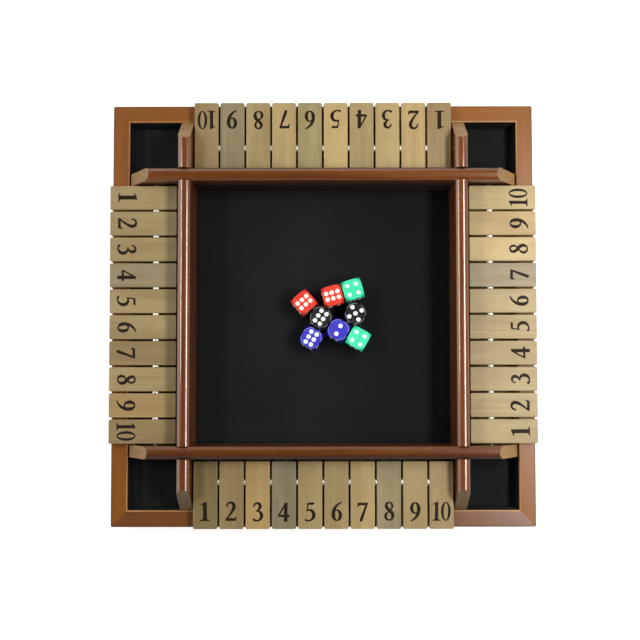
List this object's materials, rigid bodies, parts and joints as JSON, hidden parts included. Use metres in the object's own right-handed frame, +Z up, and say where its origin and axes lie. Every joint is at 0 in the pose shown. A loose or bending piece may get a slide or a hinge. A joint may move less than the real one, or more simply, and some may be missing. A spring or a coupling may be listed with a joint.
{
  "type": "shut the box game",
  "caption": "Square wooden shut-the-box board with flip-down number tiles on rods along all four sides, a felt-lined dice tray, corner pockets and loose dice.",
  "frame": {"origin": "on the table, under the centre of the board", "axes": "+Z up, +X to the east row of tiles, +Y to the north row, -Y towards the viewer"},
  "size_m": [0.3056, 0.3056, 0.0371],
  "materials": {
    "frame_wood": "satin stained wood",
    "rail_wood": "glossy red-brown lacquer, sloped ends lighter",
    "base_wood": "plain thin panel",
    "tile_wood": "satin, pale khaki stain, black printed numbers",
    "bright_steel": "bright drawn rod",
    "black_felt": "short felt",
    "foot_felt": "pressed felt",
    "red_acrylic": "translucent gloss, white pips",
    "green_acrylic": "translucent gloss, white pips",
    "blue_acrylic": "translucent gloss, white pips",
    "black_acrylic": "smoky gloss, white pips"
  },
  "bodies": {
    "board": {"frame_south": "frame_wood", "frame_east": "frame_wood", "frame_north": "frame_wood", "frame_west": "frame_wood", "base_panel": "base_wood", "felt_linings": "black_felt", "foot_pads": "foot_felt", "rail_south": "rail_wood", "rail_north": "rail_wood", "rail_east": "rail_wood", "rail_west": "rail_wood", "rods_and_washers": "bright_steel"},
    "tile_south_01": {"tile_south_01": "tile_wood"},
    "tile_south_02": {"tile_south_02": "tile_wood"},
    "tile_south_03": {"tile_south_03": "tile_wood"},
    "tile_south_04": {"tile_south_04": "tile_wood"},
    "tile_south_05": {"tile_south_05": "tile_wood"},
    "tile_south_06": {"tile_south_06": "tile_wood"},
    "tile_south_07": {"tile_south_07": "tile_wood"},
    "tile_south_08": {"tile_south_08": "tile_wood"},
    "tile_south_09": {"tile_south_09": "tile_wood"},
    "tile_south_10": {"tile_south_10": "tile_wood"},
    "tile_east_01": {"tile_east_01": "tile_wood"},
    "tile_east_02": {"tile_east_02": "tile_wood"},
    "tile_east_03": {"tile_east_03": "tile_wood"},
    "tile_east_04": {"tile_east_04": "tile_wood"},
    "tile_east_05": {"tile_east_05": "tile_wood"},
    "tile_east_06": {"tile_east_06": "tile_wood"},
    "tile_east_07": {"tile_east_07": "tile_wood"},
    "tile_east_08": {"tile_east_08": "tile_wood"},
    "tile_east_09": {"tile_east_09": "tile_wood"},
    "tile_east_10": {"tile_east_10": "tile_wood"},
    "tile_north_01": {"tile_north_01": "tile_wood"},
    "tile_north_02": {"tile_north_02": "tile_wood"},
    "tile_north_03": {"tile_north_03": "tile_wood"},
    "tile_north_04": {"tile_north_04": "tile_wood"},
    "tile_north_05": {"tile_north_05": "tile_wood"},
    "tile_north_06": {"tile_north_06": "tile_wood"},
    "tile_north_07": {"tile_north_07": "tile_wood"},
    "tile_north_08": {"tile_north_08": "tile_wood"},
    "tile_north_09": {"tile_north_09": "tile_wood"},
    "tile_north_10": {"tile_north_10": "tile_wood"},
    "tile_west_01": {"tile_west_01": "tile_wood"},
    "tile_west_02": {"tile_west_02": "tile_wood"},
    "tile_west_03": {"tile_west_03": "tile_wood"},
    "tile_west_04": {"tile_west_04": "tile_wood"},
    "tile_west_05": {"tile_west_05": "tile_wood"},
    "tile_west_06": {"tile_west_06": "tile_wood"},
    "tile_west_07": {"tile_west_07": "tile_wood"},
    "tile_west_08": {"tile_west_08": "tile_wood"},
    "tile_west_09": {"tile_west_09": "tile_wood"},
    "tile_west_10": {"tile_west_10": "tile_wood"},
    "die_red_a": {"die_red_a": "red_acrylic"},
    "die_red_b": {"die_red_b": "red_acrylic"},
    "die_green_a": {"die_green_a": "green_acrylic"},
    "die_green_b": {"die_green_b": "green_acrylic"},
    "die_blue_a": {"die_blue_a": "blue_acrylic"},
    "die_blue_b": {"die_blue_b": "blue_acrylic"},
    "die_black_a": {"die_black_a": "black_acrylic"},
    "die_black_b": {"die_black_b": "black_acrylic"}
  },
  "joints": [
    {"name": "tile_south_01_flip", "type": "hinge", "parent": "board", "child": "tile_south_01", "pos_m": [-0.08388, -0.12, 0.02245], "axis": [-1, 0, 0], "range_deg": [0, 137]},
    {"name": "tile_south_02_flip", "type": "hinge", "parent": "board", "child": "tile_south_02", "pos_m": [-0.06524, -0.12, 0.02245], "axis": [-1, 0, 0], "range_deg": [0, 137]},
    {"name": "tile_south_03_flip", "type": "hinge", "parent": "board", "child": "tile_south_03", "pos_m": [-0.0466, -0.12, 0.02245], "axis": [-1, 0, 0], "range_deg": [0, 137]},
    {"name": "tile_south_04_flip", "type": "hinge", "parent": "board", "child": "tile_south_04", "pos_m": [-0.02796, -0.12, 0.02245], "axis": [-1, 0, 0], "range_deg": [0, 137]},
    {"name": "tile_south_05_flip", "type": "hinge", "parent": "board", "child": "tile_south_05", "pos_m": [-0.00932, -0.12, 0.02245], "axis": [-1, 0, 0], "range_deg": [0, 137]},
    {"name": "tile_south_06_flip", "type": "hinge", "parent": "board", "child": "tile_south_06", "pos_m": [0.00932, -0.12, 0.02245], "axis": [-1, 0, 0], "range_deg": [0, 137]},
    {"name": "tile_south_07_flip", "type": "hinge", "parent": "board", "child": "tile_south_07", "pos_m": [0.02796, -0.12, 0.02245], "axis": [-1, 0, 0], "range_deg": [0, 137]},
    {"name": "tile_south_08_flip", "type": "hinge", "parent": "board", "child": "tile_south_08", "pos_m": [0.0466, -0.12, 0.02245], "axis": [-1, 0, 0], "range_deg": [0, 137]},
    {"name": "tile_south_09_flip", "type": "hinge", "parent": "board", "child": "tile_south_09", "pos_m": [0.06524, -0.12, 0.02245], "axis": [-1, 0, 0], "range_deg": [0, 137]},
    {"name": "tile_south_10_flip", "type": "hinge", "parent": "board", "child": "tile_south_10", "pos_m": [0.08388, -0.12, 0.02245], "axis": [-1, 0, 0], "range_deg": [0, 137]},
    {"name": "tile_east_01_flip", "type": "hinge", "parent": "board", "child": "tile_east_01", "pos_m": [0.12, -0.08388, 0.02245], "axis": [0, -1, 0], "range_deg": [0, 137]},
    {"name": "tile_east_02_flip", "type": "hinge", "parent": "board", "child": "tile_east_02", "pos_m": [0.12, -0.06524, 0.02245], "axis": [0, -1, 0], "range_deg": [0, 137]},
    {"name": "tile_east_03_flip", "type": "hinge", "parent": "board", "child": "tile_east_03", "pos_m": [0.12, -0.0466, 0.02245], "axis": [0, -1, 0], "range_deg": [0, 137]},
    {"name": "tile_east_04_flip", "type": "hinge", "parent": "board", "child": "tile_east_04", "pos_m": [0.12, -0.02796, 0.02245], "axis": [0, -1, 0], "range_deg": [0, 137]},
    {"name": "tile_east_05_flip", "type": "hinge", "parent": "board", "child": "tile_east_05", "pos_m": [0.12, -0.00932, 0.02245], "axis": [0, -1, 0], "range_deg": [0, 137]},
    {"name": "tile_east_06_flip", "type": "hinge", "parent": "board", "child": "tile_east_06", "pos_m": [0.12, 0.00932, 0.02245], "axis": [0, -1, 0], "range_deg": [0, 137]},
    {"name": "tile_east_07_flip", "type": "hinge", "parent": "board", "child": "tile_east_07", "pos_m": [0.12, 0.02796, 0.02245], "axis": [0, -1, 0], "range_deg": [0, 137]},
    {"name": "tile_east_08_flip", "type": "hinge", "parent": "board", "child": "tile_east_08", "pos_m": [0.12, 0.0466, 0.02245], "axis": [0, -1, 0], "range_deg": [0, 137]},
    {"name": "tile_east_09_flip", "type": "hinge", "parent": "board", "child": "tile_east_09", "pos_m": [0.12, 0.06524, 0.02245], "axis": [0, -1, 0], "range_deg": [0, 137]},
    {"name": "tile_east_10_flip", "type": "hinge", "parent": "board", "child": "tile_east_10", "pos_m": [0.12, 0.08388, 0.02245], "axis": [0, -1, 0], "range_deg": [0, 137]},
    {"name": "tile_north_01_flip", "type": "hinge", "parent": "board", "child": "tile_north_01", "pos_m": [0.08388, 0.12, 0.02245], "axis": [1, 0, 0], "range_deg": [0, 137]},
    {"name": "tile_north_02_flip", "type": "hinge", "parent": "board", "child": "tile_north_02", "pos_m": [0.06524, 0.12, 0.02245], "axis": [1, 0, 0], "range_deg": [0, 137]},
    {"name": "tile_north_03_flip", "type": "hinge", "parent": "board", "child": "tile_north_03", "pos_m": [0.0466, 0.12, 0.02245], "axis": [1, 0, 0], "range_deg": [0, 137]},
    {"name": "tile_north_04_flip", "type": "hinge", "parent": "board", "child": "tile_north_04", "pos_m": [0.02796, 0.12, 0.02245], "axis": [1, 0, 0], "range_deg": [0, 137]},
    {"name": "tile_north_05_flip", "type": "hinge", "parent": "board", "child": "tile_north_05", "pos_m": [0.00932, 0.12, 0.02245], "axis": [1, 0, 0], "range_deg": [0, 137]},
    {"name": "tile_north_06_flip", "type": "hinge", "parent": "board", "child": "tile_north_06", "pos_m": [-0.00932, 0.12, 0.02245], "axis": [1, 0, 0], "range_deg": [0, 137]},
    {"name": "tile_north_07_flip", "type": "hinge", "parent": "board", "child": "tile_north_07", "pos_m": [-0.02796, 0.12, 0.02245], "axis": [1, 0, 0], "range_deg": [0, 137]},
    {"name": "tile_north_08_flip", "type": "hinge", "parent": "board", "child": "tile_north_08", "pos_m": [-0.0466, 0.12, 0.02245], "axis": [1, 0, 0], "range_deg": [0, 137]},
    {"name": "tile_north_09_flip", "type": "hinge", "parent": "board", "child": "tile_north_09", "pos_m": [-0.06524, 0.12, 0.02245], "axis": [1, 0, 0], "range_deg": [0, 137]},
    {"name": "tile_north_10_flip", "type": "hinge", "parent": "board", "child": "tile_north_10", "pos_m": [-0.08388, 0.12, 0.02245], "axis": [1, 0, 0], "range_deg": [0, 137]},
    {"name": "tile_west_01_flip", "type": "hinge", "parent": "board", "child": "tile_west_01", "pos_m": [-0.12, 0.08388, 0.02245], "axis": [0, 1, 0], "range_deg": [0, 137]},
    {"name": "tile_west_02_flip", "type": "hinge", "parent": "board", "child": "tile_west_02", "pos_m": [-0.12, 0.06524, 0.02245], "axis": [0, 1, 0], "range_deg": [0, 137]},
    {"name": "tile_west_03_flip", "type": "hinge", "parent": "board", "child": "tile_west_03", "pos_m": [-0.12, 0.0466, 0.02245], "axis": [0, 1, 0], "range_deg": [0, 137]},
    {"name": "tile_west_04_flip", "type": "hinge", "parent": "board", "child": "tile_west_04", "pos_m": [-0.12, 0.02796, 0.02245], "axis": [0, 1, 0], "range_deg": [0, 137]},
    {"name": "tile_west_05_flip", "type": "hinge", "parent": "board", "child": "tile_west_05", "pos_m": [-0.12, 0.00932, 0.02245], "axis": [0, 1, 0], "range_deg": [0, 137]},
    {"name": "tile_west_06_flip", "type": "hinge", "parent": "board", "child": "tile_west_06", "pos_m": [-0.12, -0.00932, 0.02245], "axis": [0, 1, 0], "range_deg": [0, 137]},
    {"name": "tile_west_07_flip", "type": "hinge", "parent": "board", "child": "tile_west_07", "pos_m": [-0.12, -0.02796, 0.02245], "axis": [0, 1, 0], "range_deg": [0, 137]},
    {"name": "tile_west_08_flip", "type": "hinge", "parent": "board", "child": "tile_west_08", "pos_m": [-0.12, -0.0466, 0.02245], "axis": [0, 1, 0], "range_deg": [0, 137]},
    {"name": "tile_west_09_flip", "type": "hinge", "parent": "board", "child": "tile_west_09", "pos_m": [-0.12, -0.06524, 0.02245], "axis": [0, 1, 0], "range_deg": [0, 137]},
    {"name": "tile_west_10_flip", "type": "hinge", "parent": "board", "child": "tile_west_10", "pos_m": [-0.12, -0.08388, 0.02245], "axis": [0, 1, 0], "range_deg": [0, 137]},
    {"name": "die_red_a_lift", "type": "slide", "parent": "board", "child": "die_red_a", "axis": [0, 0, 1], "range_m": [0, 0.06]},
    {"name": "die_red_b_lift", "type": "slide", "parent": "board", "child": "die_red_b", "axis": [0, 0, 1], "range_m": [0, 0.06]},
    {"name": "die_green_a_lift", "type": "slide", "parent": "board", "child": "die_green_a", "axis": [0, 0, 1], "range_m": [0, 0.06]},
    {"name": "die_green_b_lift", "type": "slide", "parent": "board", "child": "die_green_b", "axis": [0, 0, 1], "range_m": [0, 0.06]},
    {"name": "die_blue_a_lift", "type": "slide", "parent": "board", "child": "die_blue_a", "axis": [0, 0, 1], "range_m": [0, 0.06]},
    {"name": "die_blue_b_lift", "type": "slide", "parent": "board", "child": "die_blue_b", "axis": [0, 0, 1], "range_m": [0, 0.06]},
    {"name": "die_black_a_lift", "type": "slide", "parent": "board", "child": "die_black_a", "axis": [0, 0, 1], "range_m": [0, 0.06]},
    {"name": "die_black_b_lift", "type": "slide", "parent": "board", "child": "die_black_b", "axis": [0, 0, 1], "range_m": [0, 0.06]}
  ]
}
